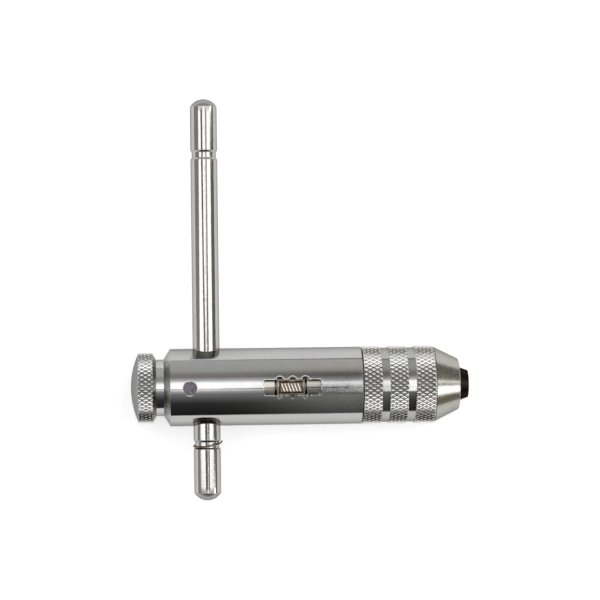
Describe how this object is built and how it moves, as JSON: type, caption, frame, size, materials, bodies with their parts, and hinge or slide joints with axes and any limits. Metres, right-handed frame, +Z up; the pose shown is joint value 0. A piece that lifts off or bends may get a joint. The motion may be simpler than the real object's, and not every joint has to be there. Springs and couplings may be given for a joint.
{
  "type": "ratchet tap wrench",
  "caption": "Ratchet tap wrench: turned barrel with a sliding tee bar, a scalloped window with a three-way selector, a knurled two-jaw screw chuck and a knurled rear knob.",
  "frame": {"origin": "centre of the jaw mouth on the tool's axis", "axes": "+X out of the jaw mouth along the tool's axis, +Y along the long side of the tee bar, +Z up through the selector's window"},
  "size_m": [0.085, 0.101, 0.0196],
  "materials": {
    "polished_barrel": "bright plated turned steel, polished",
    "satin_knob": "satin plated turned steel with a knurled rim, the barrel's rear end",
    "plug": "matt grey steel",
    "plated_bar": "bright plated round bar, satin domed ends",
    "wire_ring": "dark brown oxidised spring wire",
    "spring_steel": "drawn spring steel",
    "bearing_steel": "ground hardened steel",
    "bush_bronze": "turned bearing bronze",
    "selector_steel": "bright plated pressed steel",
    "knurled_nut": "plated turned steel with diamond knurl",
    "black_jaw": "black oxide hardened steel"
  },
  "bodies": {
    "body": {"barrel": "polished_barrel", "detent_plug": "plug", "detent_spring": "spring_steel", "detent_pin": "bearing_steel", "rear_plate": "bearing_steel", "front_bush": "bush_bronze", "pawl_pin_right": "bearing_steel", "pawl_pin_left": "bearing_steel", "pawl_spring": "spring_steel"},
    "bar": {"tee_bar": "plated_bar", "bar_ring": "wire_ring"},
    "selector_slide": {"selector": "selector_steel", "selector_clip": "spring_steel"},
    "pawl_r": {"pawl_right": "bearing_steel"},
    "pawl_l": {"pawl_left": "bearing_steel"},
    "spindle": {"spindle": "bearing_steel", "spindle_circlip": "spring_steel"},
    "nut_carrier": {"nut_snap_ring": "spring_steel"},
    "nut": {"chuck_nut": "knurled_nut"},
    "upper_jaw": {"jaw_upper": "black_jaw"},
    "lower_jaw": {"jaw_lower": "black_jaw", "jaw_spring": "spring_steel"}
  },
  "joints": [
    {"name": "bar_slide", "type": "slide", "parent": "body", "child": "bar", "axis": [0, 1, 0], "range_m": [-0.0584, 0.0037]},
    {"name": "selector_slide", "type": "slide", "parent": "body", "child": "selector_slide", "axis": [1, 0, 0], "range_m": [-0.00317, 0.00317], "deforming": ["selector_clip"]},
    {"name": "pawl_right_swing", "type": "hinge", "parent": "body", "child": "pawl_r", "pos_m": [-0.045, 0.00618, 0.00329], "axis": [-1, 0, 0], "range_deg": [0, 9.5]},
    {"name": "pawl_left_swing", "type": "hinge", "parent": "body", "child": "pawl_l", "pos_m": [-0.045, -0.00618, 0.00329], "axis": [-1, 0, 0], "range_deg": [-9.5, 0]},
    {"name": "spindle_turn", "type": "hinge", "parent": "body", "child": "spindle", "pos_m": [-0.04, 0, 0], "axis": [1, 0, 0], "continuous": true},
    {"name": "nut_advance", "type": "slide", "parent": "spindle", "child": "nut_carrier", "axis": [1, 0, 0], "range_m": [0, 0.004]},
    {"name": "nut_turn", "type": "hinge", "parent": "nut_carrier", "child": "nut", "pos_m": [-0.014, 0, 0], "axis": [1, 0, 0], "range_deg": [0, 1441]},
    {"name": "jaw_upper_slide", "type": "slide", "parent": "spindle", "child": "upper_jaw", "axis": [0, 0, 1], "range_m": [0, 0.0015], "deforming": ["jaw_spring"]},
    {"name": "jaw_lower_slide", "type": "slide", "parent": "spindle", "child": "lower_jaw", "axis": [0, 0, -1], "range_m": [0, 0.0015]}
  ],
  "couplings": [
    {"joint": "nut_turn", "follows": "nut_advance", "rad_per_m": 6283.2},
    {"joint": "jaw_upper_slide", "follows": "nut_advance", "ratio": 0.36397},
    {"joint": "jaw_lower_slide", "follows": "nut_advance", "ratio": 0.36397}
  ]
}
